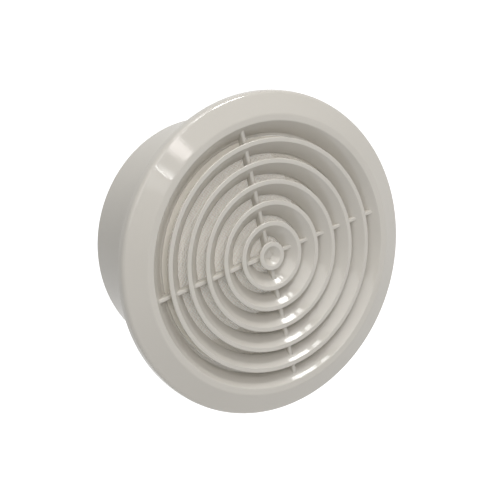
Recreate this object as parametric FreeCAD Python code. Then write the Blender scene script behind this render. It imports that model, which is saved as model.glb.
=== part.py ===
import FreeCAD, Part
import math
import os

from FreeCAD import Vector

# Round vent cover: a moulded face of louvred rings on a duct spigot, with an insect screen behind them.
# Millimetres. The wall is the XZ plane, the face looks along -Y and the spigot runs back along +Y.
# Forward is the distance in front of the wall plane, so forward = -y.

# Spigot
spigot_diameter = 100.0
spigot_length = 48.0
spigot_wall = 2.0
spigot_lead_in = 1.0

# Bezel
crown_height = 7.9
crown_width = 2.6
bezel_run = 8.9
bezel_wall = 2.0
throat_step = 1.15
rim_height = 3.9
rim_chamfer = 1.4

# Louvred rings
louvre_count = 5
louvre_lean = 47.0
louvre_depth = 5.0
lip_width = 1.8
lip_land = 0.7

# Hub and spokes
hub_radius = 5.85
stem_radius = 3.0
dish_floor_radius = 1.2
spoke_count = 4
spoke_thickness = 1.8
spoke_recess = 2.0
spoke_depth = 3.3
spoke_embed = 0.8

# Insect screen
screen_clearance = 0.2
screen_thickness = 0.8
hem_width = 2.5
mesh_pitch = 12.0
strand_width = 1.0

# Radii and forward places that follow from the sizes above
lean_run = math.tan(math.radians(louvre_lean))
spigot_radius = spigot_diameter / 2
bore_radius = spigot_radius - spigot_wall
throat_radius = bore_radius + throat_step
seat_forward = crown_height - spoke_recess - spoke_depth
louvre_rear = crown_height - louvre_depth
mouth_radius = throat_radius + louvre_depth * lean_run
crown_radius = mouth_radius + crown_width
face_radius = crown_radius + bezel_run
louvre_pitch = (mouth_radius + lip_width - hub_radius) / (louvre_count + 1)
screen_radius = bore_radius - screen_clearance

AXIS = Vector(0, 1, 0)
ORIGIN = Vector(0, 0, 0)


def section_point(radius, forward):
    return Vector(radius, -forward, 0)


def meeting_point(start, slope_a, end, slope_b):
    """Where two section lines cross; each slope is forward per radius."""
    radius = (end[1] - start[1] + slope_a * start[0] - slope_b * end[0]) / (slope_a - slope_b)
    return radius, start[1] + slope_a * (radius - start[0])


def turned(corners):
    """Solid of revolution about the axis from (radius, forward) corners."""
    points = [section_point(radius, forward) for radius, forward in corners]
    return Part.Face(Part.makePolygon(points + points[:1])).revolve(ORIGIN, AXIS, 360)


def frame():
    """Bezel and spigot in one turned wall: a hollow roof, a sloped mouth and a step down to the bore."""
    bezel_slope = (rim_height - crown_height) / bezel_run
    inner_slope = 1 / lean_run
    roof_drop = bezel_wall * math.hypot(1, bezel_slope)
    inner_drop = bezel_wall * math.hypot(1, inner_slope)
    foot_radius = face_radius - bezel_wall
    under_roof = (foot_radius, rim_height - roof_drop - bezel_slope * bezel_wall)
    under_slope = (mouth_radius, crown_height - inner_drop)
    groove_radius = throat_radius + bezel_wall
    groove_forward = under_slope[1] + inner_slope * (groove_radius - mouth_radius)
    return turned([
        (bore_radius, -spigot_length),
        (spigot_radius - spigot_lead_in, -spigot_length),
        (spigot_radius, spigot_lead_in - spigot_length),
        (spigot_radius, seat_forward - bezel_wall),
        (groove_radius, seat_forward - bezel_wall),
        (groove_radius, groove_forward),
        meeting_point(under_roof, bezel_slope, under_slope, inner_slope),
        under_roof,
        (foot_radius, 0),
        (face_radius, 0),
        (face_radius, rim_height - rim_chamfer),
        (face_radius - rim_chamfer, rim_height - bezel_slope * rim_chamfer),
        (crown_radius, crown_height),
        (mouth_radius, crown_height),
        (throat_radius, louvre_rear),
        (throat_radius, seat_forward),
        (bore_radius, seat_forward),
    ])


def louvre(lip_radius):
    """Ring blade: a narrow lip in the crown plane, then a slope that leans back towards the axis."""
    inner_rear = lip_radius - lip_width - louvre_depth * lean_run
    outer_rear = lip_radius - (louvre_depth - lip_land) * lean_run
    return turned([
        (inner_rear, louvre_rear),
        (outer_rear, louvre_rear),
        (lip_radius, crown_height - lip_land),
        (lip_radius, crown_height),
        (lip_radius - lip_width, crown_height),
    ])


def hub():
    """Central boss with a dished face and a stem that the spokes meet."""
    dish_depth = (hub_radius - lip_width - dish_floor_radius) / lean_run
    stem_forward = crown_height - lip_land - (hub_radius - stem_radius) / lean_run
    return turned([
        (0, seat_forward),
        (stem_radius, seat_forward),
        (stem_radius, stem_forward),
        (hub_radius, crown_height - lip_land),
        (hub_radius, crown_height),
        (hub_radius - lip_width, crown_height),
        (dish_floor_radius, crown_height - dish_depth),
        (0, crown_height - dish_depth),
    ])


def spoke(angle):
    """Radial rib from the axis into the bezel's inner wall, its back edge level with the throat's step."""
    front = crown_height - spoke_recess
    front_reach = mouth_radius - spoke_recess * lean_run + spoke_embed
    corners = [
        section_point(0, seat_forward),
        section_point(throat_radius + spoke_embed, seat_forward),
        section_point(front_reach, front),
        section_point(0, front),
    ]
    outline = Part.Face(Part.makePolygon(corners + corners[:1]))
    outline.translate(Vector(0, 0, -spoke_thickness / 2))
    rib = outline.extrude(Vector(0, 0, spoke_thickness))
    rib.rotate(ORIGIN, AXIS, angle)
    return rib


def cover():
    louvres = [louvre(hub_radius + louvre_pitch * (index + 1)) for index in range(louvre_count)]
    spokes = [spoke(360 / spoke_count * index) for index in range(spoke_count)]
    return frame().fuse([hub()] + louvres + spokes).removeSplitter()


def mesh_openings():
    """Square openings of the screen's net, cut off where they reach the hem."""
    net_radius = screen_radius - hem_width
    opening = mesh_pitch - strand_width
    reach = math.ceil(net_radius / mesh_pitch)
    seat = -seat_forward
    squares = []
    for column in range(-reach, reach):
        for row in range(-reach, reach):
            left = column * mesh_pitch + strand_width / 2
            bottom = row * mesh_pitch + strand_width / 2
            squares.append(Part.makeBox(opening, screen_thickness, opening, Vector(left, seat, bottom)))
    net_disc = Part.makeCylinder(net_radius, screen_thickness, Vector(0, seat, 0), AXIS)
    return Part.makeCompound(squares).common(net_disc)


def screen():
    """Insect screen: an open net in a plain hem, set in the bore against the spokes' back edges."""
    disc = Part.makeCylinder(screen_radius, screen_thickness, Vector(0, -seat_forward, 0), AXIS)
    return disc.cut(mesh_openings())


os.makedirs("parts", exist_ok=True)
cover().exportStep("parts/cover.step")
screen().exportStep("parts/screen.step")
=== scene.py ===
import math

import bmesh
import bpy
from mathutils import Euler, Matrix, Quaternion, Vector


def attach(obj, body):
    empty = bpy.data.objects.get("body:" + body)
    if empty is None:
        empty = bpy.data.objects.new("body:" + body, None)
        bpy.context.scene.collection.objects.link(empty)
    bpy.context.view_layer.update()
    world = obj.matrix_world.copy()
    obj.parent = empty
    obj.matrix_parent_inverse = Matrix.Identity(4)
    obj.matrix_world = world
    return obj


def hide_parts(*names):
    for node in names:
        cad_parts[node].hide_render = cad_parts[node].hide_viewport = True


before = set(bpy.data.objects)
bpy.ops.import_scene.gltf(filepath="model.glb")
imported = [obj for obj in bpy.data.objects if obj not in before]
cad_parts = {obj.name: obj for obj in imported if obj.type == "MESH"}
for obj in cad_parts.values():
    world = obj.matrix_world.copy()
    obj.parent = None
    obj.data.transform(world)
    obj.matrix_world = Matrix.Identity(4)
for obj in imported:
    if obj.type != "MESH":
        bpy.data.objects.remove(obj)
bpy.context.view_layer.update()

MM = 0.001

# Round vent cover. The wall is the XZ plane, the face looks along -Y and the spigot runs back along +Y.
# Sections are drawn as (radius, forward) in millimetres, with forward the distance in front of the wall.

# Bezel and spigot
SPIGOT_RADIUS = 50.0
SPIGOT_LENGTH = 48.0
SPIGOT_WALL = 2.0
SPIGOT_LEAD_IN = 1.0
CROWN_HEIGHT = 7.9
CROWN_WIDTH = 2.6
CROWN_ROUNDING = 2.4
MOUTH_ROUNDING = 0.8
BEZEL_RUN = 8.9
BEZEL_WALL = 2.0
THROAT_STEP = 1.15
RIM_HEIGHT = 3.9
RIM_ROUNDING = 2.1
CORNER_ROUNDING = 0.4
EDGE_ROUNDING = 0.2

# Louvred rings, hub and spokes
BLADE_COUNT = 5
BLADE_LEAN = math.radians(47.0)
BLADE_DEPTH = 5.0
LIP_WIDTH = 1.8
LIP_LAND = 0.7
LIP_ROUNDING = 0.45
HUB_RADIUS = 5.85
STEM_RADIUS = 3.0
DISH_FLOOR_RADIUS = 1.2
SPOKE_COUNT = 4
SPOKE_THICKNESS = 1.8
SPOKE_RECESS = 2.0
SPOKE_DEPTH = 3.3
SPOKE_EMBED = 0.8
SPOKE_START = 1.5
SPOKE_ROUNDING = 0.6

# Hollow of the slopes: how far each end turns from straight, and the share of the length that is curved
SLOPE_TURN = math.radians(5.0)
HOLLOW_SHARE = 0.8

# Insect screen
SCREEN_CLEARANCE = 0.2
SCREEN_THICKNESS = 0.8
HEM_WIDTH = 2.5
STRAND_PITCH = 0.6
STRAND_RADIUS = 0.21
STRAND_SIDES = 6
STRAND_SINK = 0.08

# How finely curves are drawn; HOLD is how near to a rounding a straight side gets its last point
TURN_STEPS = 240
ARC_STEPS = 6
SPOKE_EDGE_STEPS = 4
ROUND_PROFILE = 0.5
HOLD = 0.06
SHARP_ANGLE = math.radians(32.0)

# Radii and forward places that follow from the sizes above
LEAN_RUN = math.tan(BLADE_LEAN)
BORE_RADIUS = SPIGOT_RADIUS - SPIGOT_WALL
THROAT_RADIUS = BORE_RADIUS + THROAT_STEP
MOUTH_RADIUS = THROAT_RADIUS + BLADE_DEPTH * LEAN_RUN
BLADE_REAR = CROWN_HEIGHT - BLADE_DEPTH
SEAT_FORWARD = CROWN_HEIGHT - SPOKE_RECESS - SPOKE_DEPTH
CROWN_RADIUS = MOUTH_RADIUS + CROWN_WIDTH
FACE_RADIUS = CROWN_RADIUS + BEZEL_RUN
LIP_PITCH = (MOUTH_RADIUS + LIP_WIDTH - HUB_RADIUS) / (BLADE_COUNT + 1)
SCREEN_RADIUS = BORE_RADIUS - SCREEN_CLEARANCE

# Turns a shape drawn flat in the XY plane upright, against the wall
TO_WALL = Euler((-math.pi / 2, 0, 0))

# Plastic: waves of its unevenness per metre, and how much each one shows
CLOUD_WAVES = 28.0
GLOSS_WAVES = 60.0
PEEL_WAVES = 420.0
GRAIN_WAVES = 900.0
GRAIN_IN_COLOUR = 0.1
GRAIN_IN_PEEL = 0.3
GLOSS_SPREAD = 0.05
GRAIN_GLOSS_SPREAD = 0.03
PEEL_STRENGTH = 0.05
PEEL_DEPTH = 0.0001
PLASTIC_IOR = 1.49

# Studio, in metres
WHITE = (1, 1, 1, 1)
ROOM_LIGHT = 0.29
FLOOR_HEIGHT = -0.30
FLOOR_REACH = 6.0
FLOOR_COLOUR = (0.82, 0.82, 0.82, 1)
FLOOR_GLOW = 0.85

# Camera: lens and sensor in millimetres, its place in metres, and the picture's right and up directions
LENS = 117.98
SENSOR = 36.0
EYE_PLACE = (-0.31248, -0.54268, 0.21520)
EYE_RIGHT = (0.81498, -0.54195, -0.20520)
EYE_UP = (0.34351, 0.16662, 0.92425)
NEAREST = 0.01


class Link:
    """An output of a node. Arithmetic on links adds Math nodes to the tree that they are in."""

    def __init__(self, nodes, socket):
        self.nodes = nodes
        self.socket = socket

    def __add__(self, other):
        return self.nodes.math("ADD", self, other)

    __radd__ = __add__

    def __sub__(self, other):
        return self.nodes.math("SUBTRACT", self, other)

    def __rsub__(self, other):
        return self.nodes.math("SUBTRACT", other, self)

    def __mul__(self, other):
        return self.nodes.math("MULTIPLY", self, other)

    __rmul__ = __mul__

    def __truediv__(self, other):
        return self.nodes.math("DIVIDE", self, other)

    def __rtruediv__(self, other):
        return self.nodes.math("DIVIDE", other, self)

    def __lt__(self, other):
        return self.nodes.math("LESS_THAN", self, other)

    def __gt__(self, other):
        return self.nodes.math("GREATER_THAN", self, other)


class Nodes:
    """Fills one node tree."""

    def __init__(self, tree):
        self.tree = tree

    def add(self, kind, sockets=None, out=0, **settings):
        """New node: its settings first, then its sockets' values or links. Returns one output, if any."""
        node = self.tree.nodes.new(kind)
        for name, value in settings.items():
            setattr(node, name, value)
        for name, value in (sockets or {}).items():
            for each in value if isinstance(value, list) else [value]:
                self.join(each, node.inputs[name])
        return Link(self, node.outputs[out]) if node.outputs else None

    def join(self, value, socket):
        if isinstance(value, Link):
            self.tree.links.new(value.socket, socket)
        else:
            socket.default_value = value

    def math(self, operation, *values):
        return self.add("ShaderNodeMath", dict(enumerate(values)), operation=operation)

    def outputs(self, kind, sockets=None):
        """New node, as all its outputs by name."""
        node = self.add(kind, sockets).socket.node
        return {socket.name: Link(self, socket) for socket in node.outputs}


class ShapeTree(Nodes):
    """Geometry Nodes tree with named inputs, which ends in real faces of one material."""

    def __init__(self, name, sizes):
        super().__init__(bpy.data.node_groups.new(name, "GeometryNodeTree"))
        face = self.tree.interface
        face.new_socket("Geometry", in_out="OUTPUT", socket_type="NodeSocketGeometry")
        face.new_socket("Geometry", in_out="INPUT", socket_type="NodeSocketGeometry")
        for label, kind in sizes.items():
            face.new_socket(label, in_out="INPUT", socket_type="NodeSocket" + kind)
        self.sizes = self.outputs("NodeGroupInput")

    def pattern(self, label):
        """Shape of the object that a named input holds."""
        return self.outputs("GeometryNodeObjectInfo", {"Object": self.sizes[label]})["Geometry"]

    def turn(self, shape, rotation, shift=(0, 0, 0)):
        return self.add("GeometryNodeTransform",
                        {"Geometry": shape, "Rotation": rotation, "Translation": shift})

    def place(self, points, shape, **sockets):
        """Copies of a shape on points, made real."""
        copies = self.add("GeometryNodeInstanceOnPoints", {"Points": points, "Instance": shape, **sockets})
        return self.add("GeometryNodeRealizeInstances", {"Geometry": copies})

    def close(self, shape):
        """Smooth faces with sharp corners, real faces, the material and the output."""
        angle = self.add("GeometryNodeInputMeshEdgeAngle")
        shape = self.add("GeometryNodeSetShadeSmooth", {0: shape, "Shade Smooth": angle < SHARP_ANGLE},
                         domain="EDGE")
        shape = self.add("GeometryNodeRealizeInstances", {"Geometry": shape})
        shape = self.add("GeometryNodeSetMaterial", {"Geometry": shape, "Material": self.sizes["Material"]})
        self.add("NodeGroupOutput", {"Geometry": shape})


def rounded(corners):
    """Closed section from (radius, forward, rounding) corners, with points that hold its straight sides."""
    points = []
    for index, (radius, forward, rounding) in enumerate(corners):
        here = Vector((radius, forward))
        back = (Vector(corners[index - 1][:2]) - here).normalized()
        ahead = (Vector(corners[(index + 1) % len(corners)][:2]) - here).normalized()
        if rounding == 0:
            points.append(here)
            continue
        half_angle = back.angle(ahead) / 2
        setback = rounding / math.tan(half_angle)
        centre = here + (back + ahead).normalized() * rounding / math.sin(half_angle)
        start = here + back * setback - centre
        end = here + ahead * setback - centre
        turn = math.atan2(start.x * end.y - start.y * end.x, start.dot(end))
        points.append(here + back * (setback + HOLD))
        for step in range(ARC_STEPS + 1):
            points.append(centre + Matrix.Rotation(turn * step / ARC_STEPS, 2) @ start)
        points.append(here + ahead * (setback + HOLD))
    return points


def meeting_point(start, slope_a, end, slope_b):
    """Where two section lines cross; each slope is forward per radius."""
    radius = (end[1] - start[1] + slope_a * start[0] - slope_b * end[0]) / (slope_a - slope_b)
    return radius, start[1] + slope_a * (radius - start[0])


def hollow(lip, rear):
    """Middle corner of a slope, a little behind the straight line from lip to rear, with a wide rounding."""
    lip, rear = Vector(lip), Vector(rear)
    half_run = (rear - lip) / 2
    middle = lip + half_run - Vector((half_run.y, -half_run.x)) * math.tan(SLOPE_TURN)
    return middle.x, middle.y, HOLLOW_SHARE * half_run.length / math.tan(SLOPE_TURN)


def frame_section():
    """Spigot and hollow bezel: a roof over the wall, a sloped mouth, and a step down to the bore."""
    bezel_slope = (RIM_HEIGHT - CROWN_HEIGHT) / BEZEL_RUN
    inner_slope = 1 / LEAN_RUN
    roof_drop = BEZEL_WALL * math.hypot(1, bezel_slope)
    inner_drop = BEZEL_WALL * math.hypot(1, inner_slope)
    foot_radius = FACE_RADIUS - BEZEL_WALL
    under_roof = (foot_radius, RIM_HEIGHT - roof_drop - bezel_slope * BEZEL_WALL)
    under_slope = (MOUTH_RADIUS, CROWN_HEIGHT - inner_drop)
    ridge = meeting_point(under_roof, bezel_slope, under_slope, inner_slope)
    groove_radius = THROAT_RADIUS + BEZEL_WALL
    groove_forward = under_slope[1] + inner_slope * (groove_radius - MOUTH_RADIUS)
    groove_floor = SEAT_FORWARD - BEZEL_WALL
    return rounded([
        (BORE_RADIUS, -SPIGOT_LENGTH, CORNER_ROUNDING),
        (SPIGOT_RADIUS - SPIGOT_LEAD_IN, -SPIGOT_LENGTH, EDGE_ROUNDING),
        (SPIGOT_RADIUS, SPIGOT_LEAD_IN - SPIGOT_LENGTH, EDGE_ROUNDING),
        (SPIGOT_RADIUS, groove_floor, CORNER_ROUNDING),
        (groove_radius, groove_floor, CORNER_ROUNDING),
        (groove_radius, groove_forward, CORNER_ROUNDING),
        (*ridge, CORNER_ROUNDING),
        (*under_roof, CORNER_ROUNDING),
        (foot_radius, 0, CORNER_ROUNDING),
        (FACE_RADIUS, 0, CORNER_ROUNDING),
        (FACE_RADIUS, RIM_HEIGHT, RIM_ROUNDING),
        (CROWN_RADIUS, CROWN_HEIGHT, CROWN_ROUNDING),
        (MOUTH_RADIUS, CROWN_HEIGHT, MOUTH_ROUNDING),
        hollow((MOUTH_RADIUS, CROWN_HEIGHT), (THROAT_RADIUS, BLADE_REAR)),
        (THROAT_RADIUS, BLADE_REAR, 0),
        (THROAT_RADIUS, SEAT_FORWARD, 0),
        (BORE_RADIUS, SEAT_FORWARD, 0),
    ])


def hub_section():
    """Central boss with a dished face, from its stem on the axis round to the dish on the axis."""
    dish_forward = CROWN_HEIGHT - (HUB_RADIUS - LIP_WIDTH - DISH_FLOOR_RADIUS) / LEAN_RUN
    stem_forward = CROWN_HEIGHT - LIP_LAND - (HUB_RADIUS - STEM_RADIUS) / LEAN_RUN
    return rounded([
        (0, SEAT_FORWARD, 0),
        (STEM_RADIUS, SEAT_FORWARD, 0),
        (STEM_RADIUS, stem_forward, 0),
        (HUB_RADIUS, CROWN_HEIGHT - LIP_LAND, 0),
        (HUB_RADIUS, CROWN_HEIGHT, LIP_ROUNDING),
        (HUB_RADIUS - LIP_WIDTH, CROWN_HEIGHT, LIP_ROUNDING),
        hollow((HUB_RADIUS - LIP_WIDTH, CROWN_HEIGHT), (DISH_FLOOR_RADIUS, dish_forward)),
        (DISH_FLOOR_RADIUS, dish_forward, CORNER_ROUNDING),
        (0, dish_forward, 0),
    ])


def blade_section():
    """Ring blade, drawn from its lip's outer edge: a narrow lip and a slope that leans towards the axis."""
    inner_rear = -LIP_WIDTH - BLADE_DEPTH * LEAN_RUN
    outer_rear = -(BLADE_DEPTH - LIP_LAND) * LEAN_RUN
    return rounded([
        (inner_rear, BLADE_REAR, EDGE_ROUNDING),
        (outer_rear, BLADE_REAR, EDGE_ROUNDING),
        (0, CROWN_HEIGHT - LIP_LAND, 0),
        (0, CROWN_HEIGHT, LIP_ROUNDING),
        (-LIP_WIDTH, CROWN_HEIGHT, LIP_ROUNDING),
        hollow((-LIP_WIDTH, CROWN_HEIGHT), (inner_rear, BLADE_REAR)),
    ])


def hem_section():
    """Flat rim of the screen."""
    hem_radius = SCREEN_RADIUS - HEM_WIDTH
    hem_rear = SEAT_FORWARD - SCREEN_THICKNESS
    return rounded([
        (hem_radius, hem_rear, EDGE_ROUNDING),
        (SCREEN_RADIUS, hem_rear, EDGE_ROUNDING),
        (SCREEN_RADIUS, SEAT_FORWARD, EDGE_ROUNDING),
        (hem_radius, SEAT_FORWARD, EDGE_ROUNDING),
    ])


def add_turned(shell, section):
    """Turns a section about the axis. A point on the axis becomes a pole."""
    angles = [2 * math.pi * step / TURN_STEPS for step in range(TURN_STEPS)]
    rings = []
    for radius, forward in section:
        around = angles if radius > 0 else angles[:1]
        rings.append([
            shell.verts.new((radius * math.cos(angle) * MM, -forward * MM, radius * math.sin(angle) * MM))
            for angle in around
        ])
    for ring, after in zip(rings, rings[1:] + rings[:1]):
        if len(ring) == len(after) == 1:
            continue
        for step in range(TURN_STEPS):
            ahead = step + 1
            corners = [ring[step % len(ring)], ring[ahead % len(ring)],
                       after[ahead % len(after)], after[step % len(after)]]
            shell.faces.new(dict.fromkeys(corners))


def shown(name, data):
    """Object in the scene that holds a mesh, a curve, a lamp or a camera."""
    piece = bpy.data.objects.new(name, data)
    bpy.context.scene.collection.objects.link(piece)
    return piece


def shell_object(name, shell):
    """Object from a closed shell, its faces turned outwards."""
    bmesh.ops.recalc_face_normals(shell, faces=shell.faces)
    mesh = bpy.data.meshes.new(name)
    shell.to_mesh(mesh)
    shell.free()
    return shown(name, mesh)


def turned_object(name, *sections):
    shell = bmesh.new()
    for section in sections:
        add_turned(shell, section)
    return shell_object(name, shell)


def section_curve(name, section):
    """Closed section as a curve in its own XY plane, for Geometry Nodes to sweep."""
    curve = bpy.data.curves.new(name, "CURVE")
    spline = curve.splines.new("POLY")
    spline.points.add(len(section) - 1)
    for point, (radius, forward) in zip(spline.points, section):
        point.co = (radius * MM, forward * MM, 0, 1)
    spline.use_cyclic_u = True
    return shown(name, curve)


def spoke_object():
    """One radial rib along +X: its front edge lies behind the lips and its outer end is in the wall."""
    front = CROWN_HEIGHT - SPOKE_RECESS
    outline = [
        (SPOKE_START, SEAT_FORWARD),
        (THROAT_RADIUS + SPOKE_EMBED, SEAT_FORWARD),
        (MOUTH_RADIUS - SPOKE_RECESS * LEAN_RUN + SPOKE_EMBED, front),
        (SPOKE_START, front),
    ]
    shell = bmesh.new()
    sides = []
    for side in (-SPOKE_THICKNESS / 2, SPOKE_THICKNESS / 2):
        corners = [(radius * MM, -forward * MM, side * MM) for radius, forward in outline]
        sides.append([shell.verts.new(corner) for corner in corners])
    for side in sides:
        shell.faces.new(side)
    for index in range(len(outline)):
        shell.faces.new((sides[0][index], sides[0][index - 1], sides[1][index - 1], sides[1][index]))
    front_edges = [shell.edges.get((side[2], side[3])) for side in sides]
    bmesh.ops.bevel(shell, geom=front_edges, offset=SPOKE_ROUNDING * MM, segments=SPOKE_EDGE_STEPS,
                    profile=ROUND_PROFILE, affect="EDGES")
    return shell_object("spoke_pattern", shell)


def grille_tree():
    """Rings of blades and spokes, grown into the moulding that the modifier sits on."""
    tree = ShapeTree("Louvred grille", {
        "Blade section": "Object", "Spoke": "Object", "First lip radius": "Float", "Lip pitch": "Float",
        "Blade count": "Int", "Spoke count": "Int", "Turn steps": "Int", "Material": "Material",
    })
    sizes = tree.sizes
    index = tree.add("GeometryNodeInputIndex")
    circle = tree.add("GeometryNodeCurvePrimitiveCircle", {"Resolution": sizes["Turn steps"], "Radius": 1.0})
    centres = tree.add("GeometryNodePoints", {"Count": sizes["Blade count"]})
    lips = tree.place(centres, circle, Scale=sizes["First lip radius"] + sizes["Lip pitch"] * index)
    blades = tree.add("GeometryNodeCurveToMesh",
                      {"Curve": lips, "Profile Curve": tree.pattern("Blade section")})
    blades = tree.turn(blades, TO_WALL)
    angle = 2 * math.pi * index / sizes["Spoke count"]
    facing = tree.add("ShaderNodeCombineXYZ", {"Y": angle})
    starts = tree.add("GeometryNodePoints", {"Count": sizes["Spoke count"]})
    spokes = tree.place(starts, tree.pattern("Spoke"), Rotation=facing)
    moulding = tree.add("GeometryNodeMeshBoolean", {"Mesh 2": [sizes["Geometry"], blades, spokes]},
                        operation="UNION", solver="MANIFOLD")
    tree.close(moulding)
    return tree.tree


def net_tree():
    """Extruded net: two layers of straight strands sunk into each other where they cross, cut to a disc."""
    tree = ShapeTree("Insect net", {
        "Net radius": "Float", "Strand pitch": "Float", "Strand count": "Int", "Strand radius": "Float",
        "Strand sides": "Int", "Layer offset": "Float", "Depth": "Float", "Material": "Material",
    })
    sizes = tree.sizes
    index = tree.add("GeometryNodeInputIndex")
    beside = sizes["Strand pitch"] * (index - (sizes["Strand count"] - 1) / 2)
    half_chord = tree.math("SQRT", sizes["Net radius"] * sizes["Net radius"] - beside * beside)
    line = tree.add("GeometryNodeCurvePrimitiveLine", {"Start": (-1, 0, 0), "End": (1, 0, 0)})
    row = tree.add("ShaderNodeCombineXYZ", {"Y": beside})
    rows = tree.add("GeometryNodePoints", {"Count": sizes["Strand count"], "Position": row})
    chord = tree.add("ShaderNodeCombineXYZ", {"X": half_chord, "Y": 1, "Z": 1})
    strands = tree.place(rows, line, Scale=chord)
    thread = tree.add("GeometryNodeCurvePrimitiveCircle",
                      {"Resolution": sizes["Strand sides"], "Radius": sizes["Strand radius"]})
    strands = tree.add("GeometryNodeCurveToMesh",
                       {"Curve": strands, "Profile Curve": thread, "Fill Caps": True})
    front = tree.add("ShaderNodeCombineXYZ", {"Y": sizes["Depth"] - sizes["Layer offset"]})
    back = tree.add("ShaderNodeCombineXYZ", {"Y": sizes["Depth"] + sizes["Layer offset"]})
    level = tree.turn(strands, TO_WALL, front)
    upright = tree.turn(tree.turn(strands, Euler((0, 0, math.pi / 2))), TO_WALL, back)
    tree.close(tree.add("GeometryNodeJoinGeometry", {"Geometry": [sizes["Geometry"], level, upright]}))
    return tree.tree


def grown(piece, tree, sizes):
    """The piece as its tree makes it, as a plain mesh."""
    modifier = piece.modifiers.new(tree.name, "NODES")
    modifier.node_group = tree
    for socket in tree.interface.items_tree:
        if socket.in_out == "INPUT" and socket.name in sizes:
            modifier[socket.identifier] = sizes[socket.name]
    bpy.context.view_layer.update()
    graph = bpy.context.evaluated_depsgraph_get()
    mesh = bpy.data.meshes.new_from_object(piece.evaluated_get(graph))
    piece.modifiers.remove(modifier)
    mesh.name = piece.name
    piece.data = mesh
    return piece


def bare_material(name):
    """Material with an empty tree, and that tree to fill."""
    material = bpy.data.materials.new(name)
    material.use_nodes = True
    material.node_tree.nodes.clear()
    return material, Nodes(material.node_tree)


def moulded_plastic(name, colour, tint, roughness):
    """Satin moulding: faint clouding of the colour, uneven gloss and a fine orange-peel surface."""
    material, nodes = bare_material(name)
    place = nodes.outputs("ShaderNodeTexCoord")["Object"]

    def unevenness(waves, detail):
        return nodes.add("ShaderNodeTexNoise", {"Vector": place, "Scale": waves, "Detail": detail})

    cloud = unevenness(CLOUD_WAVES, 3.0)
    grain = unevenness(GRAIN_WAVES, 2.0)
    shade = cloud * (1 - GRAIN_IN_COLOUR) + grain * GRAIN_IN_COLOUR
    # A mix of colours has its factor at socket 0, its colours at 6 and 7, and its result at output 2
    base = nodes.add("ShaderNodeMix", {0: shade, 6: colour, 7: tint}, out=2, data_type="RGBA")
    patchy = unevenness(GLOSS_WAVES, 2.0)
    gloss = roughness + (patchy - 0.5) * GLOSS_SPREAD + (grain - 0.5) * GRAIN_GLOSS_SPREAD
    peel = unevenness(PEEL_WAVES, 1.0) * (1 - GRAIN_IN_PEEL) + grain * GRAIN_IN_PEEL
    bump = nodes.add("ShaderNodeBump", {"Strength": PEEL_STRENGTH, "Distance": PEEL_DEPTH, "Height": peel})
    shader = nodes.add("ShaderNodeBsdfPrincipled", {
        "Base Color": base, "Roughness": gloss, "IOR": PLASTIC_IOR, "Normal": bump,
    })
    nodes.add("ShaderNodeOutputMaterial", {"Surface": shader})
    return material


def cover_piece(material):
    moulding = turned_object("moulded_cover", frame_section(), hub_section())
    section = section_curve("blade_section", blade_section())
    spoke = spoke_object()
    grown(moulding, grille_tree(), {
        "Blade section": section,
        "Spoke": spoke,
        "First lip radius": (HUB_RADIUS + LIP_PITCH) * MM,
        "Lip pitch": LIP_PITCH * MM,
        "Blade count": BLADE_COUNT,
        "Spoke count": SPOKE_COUNT,
        "Turn steps": TURN_STEPS,
        "Material": material,
    })
    for pattern in (section, spoke):
        bpy.data.objects.remove(pattern)
    return moulding


def screen_piece(material):
    hem = turned_object("insect_screen", hem_section())
    net_radius = SCREEN_RADIUS - HEM_WIDTH / 2
    return grown(hem, net_tree(), {
        "Net radius": net_radius * MM,
        "Strand pitch": STRAND_PITCH * MM,
        "Strand count": 2 * math.floor(net_radius / STRAND_PITCH) + 1,
        "Strand radius": STRAND_RADIUS * MM,
        "Strand sides": STRAND_SIDES,
        "Layer offset": (STRAND_RADIUS - STRAND_SINK / 2) * MM,
        "Depth": (SCREEN_THICKNESS / 2 - SEAT_FORWARD) * MM,
        "Material": material,
    })


def carried(piece, node):
    """The piece stands for a solid of the frame, which it hides, and rides with it."""
    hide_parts(node)
    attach(piece, "root")


def direction(azimuth, elevation):
    """Unit vector from the cover: azimuth 0 is straight out of the face and turns towards +X."""
    turn, lift = math.radians(azimuth), math.radians(elevation)
    return Vector((math.sin(turn) * math.cos(lift), -math.cos(turn) * math.cos(lift), math.sin(lift)))


def soft_box(name, azimuth, elevation, distance, width, height, strength, colour=(1, 1, 1), roll=0):
    """Lamp pane that faces the cover; strength is the light that arrives, in watts on a square metre."""
    light = bpy.data.lights.new(name, "AREA")
    light.shape = "RECTANGLE"
    light.size = width
    light.size_y = height
    light.energy = strength * math.pi * distance ** 2
    light.color = colour
    lamp = shown(name, light)
    away = direction(azimuth, elevation)
    lamp.location = away * distance
    facing = away.to_track_quat("Z", "Y") @ Quaternion((0, 0, 1), math.radians(roll))
    lamp.rotation_euler = facing.to_euler()


def white_to_the_eye(nodes):
    """1 for rays that see the ground, straight or by gloss or clear material, and 0 for rays that light."""
    path = nodes.outputs("ShaderNodeLightPath")
    onward = nodes.math("MAXIMUM", path["Is Glossy Ray"], path["Is Transmission Ray"])
    return nodes.math("MAXIMUM", path["Is Camera Ray"], onward)


def lit_room():
    """White surroundings that give the cover an even, weaker light."""
    world = bpy.data.worlds.new("room")
    bpy.context.scene.world = world
    world.use_nodes = True
    world.node_tree.nodes.clear()
    nodes = Nodes(world.node_tree)
    seen = white_to_the_eye(nodes)
    strength = seen + (1 - seen) * ROOM_LIGHT
    shader = nodes.add("ShaderNodeBackground", {"Color": WHITE, "Strength": strength})
    nodes.add("ShaderNodeOutputWorld", {"Surface": shader})


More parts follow.
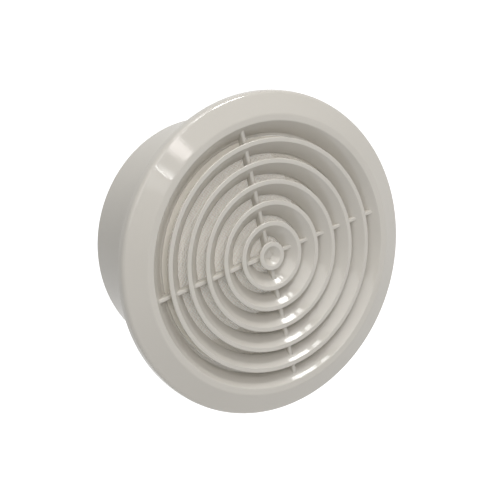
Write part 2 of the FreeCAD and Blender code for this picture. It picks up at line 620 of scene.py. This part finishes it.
def floor():
    """Pale floor that takes the cover's shadow and is close to white by itself."""
    material, nodes = bare_material("pale_floor")
    matt = nodes.add("ShaderNodeBsdfDiffuse", {"Color": FLOOR_COLOUR})
    glow = nodes.add("ShaderNodeEmission", {"Color": WHITE, "Strength": white_to_the_eye(nodes) * FLOOR_GLOW})
    both = nodes.add("ShaderNodeAddShader", {0: matt, 1: glow})
    nodes.add("ShaderNodeOutputMaterial", {"Surface": both})
    sides = ((-1, -1), (1, -1), (1, 1), (-1, 1))
    corners = [(x * FLOOR_REACH, y * FLOOR_REACH, FLOOR_HEIGHT) for x, y in sides]
    mesh = bpy.data.meshes.new("floor")
    mesh.from_pydata(corners, [], [(0, 1, 2, 3)])
    mesh.materials.append(material)
    shown("floor", mesh)


def lamps():
    # Bright panes, which show as the twin patches on the lower rings
    soft_box("window_right", azimuth=49, elevation=57.5, distance=1.0, width=0.30, height=0.09,
             strength=0.46, roll=-32)
    soft_box("window_left", azimuth=17.5, elevation=62, distance=1.0, width=0.11, height=0.08, strength=0.08)
    # Broad soft light from above and from the front
    soft_box("sky_right", azimuth=50, elevation=60, distance=1.2, width=0.60, height=0.50, strength=0.20)
    soft_box("ceiling", azimuth=15, elevation=76, distance=1.2, width=0.60, height=0.40, strength=0.60)
    soft_box("room_front", azimuth=-28, elevation=40, distance=1.6, width=1.20, height=1.20, strength=0.86)
    # Far panes, which show as the patch and the bar on the bezel
    soft_box("far_window", azimuth=4, elevation=36, distance=1.5, width=0.30, height=0.20, strength=0.22,
             colour=(1.0, 0.95, 0.96))
    soft_box("porch_window", azimuth=4, elevation=28.2, distance=1.5, width=0.14, height=0.08, strength=0.042,
             colour=(1.0, 0.94, 0.92))
    soft_box("small_lamp", azimuth=-4.7, elevation=23.2, distance=1.5, width=0.015, height=0.040,
             strength=0.010)


def camera():
    """Looks down at the face from its left, rolled so that the upright spoke leans left."""
    lens = bpy.data.cameras.new("camera")
    lens.sensor_width = SENSOR
    lens.lens = LENS
    lens.clip_start = NEAREST
    right, up = Vector(EYE_RIGHT), Vector(EYE_UP)
    axes = Matrix((right, up, right.cross(up))).transposed().to_4x4()
    eye = shown("camera", lens)
    eye.matrix_world = Matrix.Translation(EYE_PLACE) @ axes
    bpy.context.scene.camera = eye


def studio():
    bpy.context.scene.view_settings.view_transform = "Standard"
    lit_room()
    floor()
    lamps()
    camera()


ivory = moulded_plastic("ivory_moulding", (0.635, 0.605, 0.545, 1), (0.675, 0.645, 0.585, 1), 0.08)
net_white = moulded_plastic("net_strands", (0.90, 0.86, 0.78, 1), (0.94, 0.90, 0.82, 1), 0.40)
carried(cover_piece(ivory), "cover")
carried(screen_piece(net_white), "screen")
studio()
